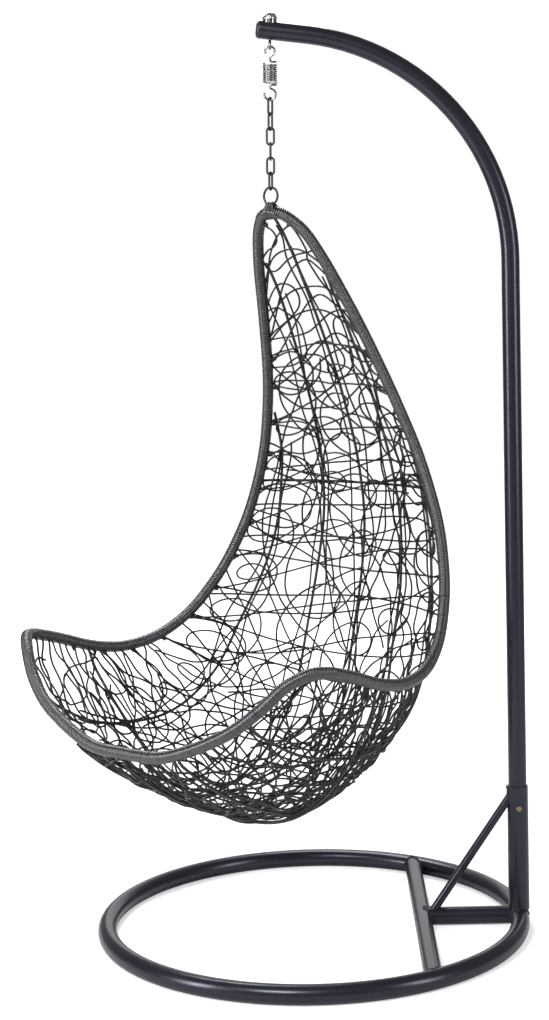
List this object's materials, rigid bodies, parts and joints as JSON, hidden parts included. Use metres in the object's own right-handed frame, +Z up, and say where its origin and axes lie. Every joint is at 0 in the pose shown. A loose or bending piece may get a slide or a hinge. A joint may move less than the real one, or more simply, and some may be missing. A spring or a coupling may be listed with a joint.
{
  "type": "hanging egg chair",
  "caption": "Hanging egg chair: woven bucket seat on a wrapped rim, hung by chain and coil spring from a bent tube stand with a round base.",
  "frame": {"origin": "centre of the round base, on the floor", "axes": "+Z up, +X from the middle of the base to the mast, +Y to the left of someone looking along +X"},
  "size_m": [1.0987, 1.0085, 2.0019],
  "materials": {
    "frame_paint": "satin powder coat",
    "rib_paint": "satin powder coat",
    "cap_plastic": "matte",
    "screw_brass": "bright",
    "bright_zinc": "bright zinc plate",
    "bright_chrome": "polished",
    "chain_black": "black oxide, satin",
    "rim_strand": "satin extruded strand",
    "weave_strand": "satin extruded strand"
  },
  "bodies": {
    "stand": {"base_ring": "frame_paint", "base_crossbar": "frame_paint", "base_strut": "frame_paint", "mast_sleeve": "frame_paint", "diagonal_brace": "frame_paint", "mast_arm": "frame_paint", "arm_end_cap": "cap_plastic", "sleeve_screw": "screw_brass", "sleeve_nut": "bright_zinc", "eye_bolt": "bright_zinc", "saddle_washer": "cap_plastic", "dome_nut": "bright_chrome"},
    "spring_top": {"spring_upper_hook": "bright_zinc", "spring_coil": "bright_zinc"},
    "spring_bottom": {"spring_lower_hook": "bright_zinc"},
    "link_1": {"chain_link_1": "chain_black"},
    "link_2": {"chain_link_2": "chain_black"},
    "link_3": {"chain_link_3": "chain_black"},
    "link_4": {"chain_link_4": "chain_black"},
    "link_5": {"chain_link_5": "chain_black"},
    "link_6": {"chain_link_6": "chain_black"},
    "basket": {"hanging_ring": "chain_black", "ring_lug": "rim_strand", "rim_tube": "frame_paint", "rim_wrap": "rim_strand", "centre_rib": "rib_paint", "inner_rib_left": "rib_paint", "inner_rib_right": "rib_paint", "outer_rib_left": "rib_paint", "outer_rib_right": "rib_paint", "back_hoop": "rib_paint", "seat_hoop": "rib_paint", "woven_bowl": "weave_strand"}
  },
  "joints": [
    {"name": "swing_sideways", "type": "hinge", "parent": "stand", "child": "spring_top", "pos_m": [-0.08797, 0, 1.92205], "axis": [0, 1, 0], "range_deg": [-4, 20]},
    {"name": "spring_stretch", "type": "slide", "parent": "spring_top", "child": "spring_bottom", "axis": [0, 0, -1], "range_m": [0, 0.04], "stiffness_N_per_m": 22000, "springref_m": -0.008, "deforming": ["spring_coil"]},
    {"name": "swing_forward", "type": "hinge", "parent": "spring_bottom", "child": "link_1", "pos_m": [-0.08797, 0, 1.81091], "axis": [1, 0, 0], "range_deg": [-20, 20]},
    {"name": "link_twist_2", "type": "hinge", "parent": "link_1", "child": "link_2", "pos_m": [-0.08797, 0, 1.78356], "axis": [0, 0, 1], "range_deg": [-3, 7.5]},
    {"name": "link_twist_3", "type": "hinge", "parent": "link_2", "child": "link_3", "pos_m": [-0.08797, 0, 1.75126], "axis": [0, 0, 1], "range_deg": [-13, 7.5]},
    {"name": "link_twist_4", "type": "hinge", "parent": "link_3", "child": "link_4", "pos_m": [-0.08797, 0, 1.71896], "axis": [0, 0, 1], "range_deg": [-15, 7.5]},
    {"name": "link_twist_5", "type": "hinge", "parent": "link_4", "child": "link_5", "pos_m": [-0.08797, 0, 1.68666], "axis": [0, 0, 1], "range_deg": [-15, 7.5]},
    {"name": "link_twist_6", "type": "hinge", "parent": "link_5", "child": "link_6", "pos_m": [-0.08797, 0, 1.65436], "axis": [0, 0, 1], "range_deg": [-15, 7.5]},
    {"name": "basket_turn", "type": "hinge", "parent": "link_6", "child": "basket", "pos_m": [-0.08797, 0, 1.62216], "axis": [0, 0, 1], "range_deg": [-15, 7.5]}
  ]
}
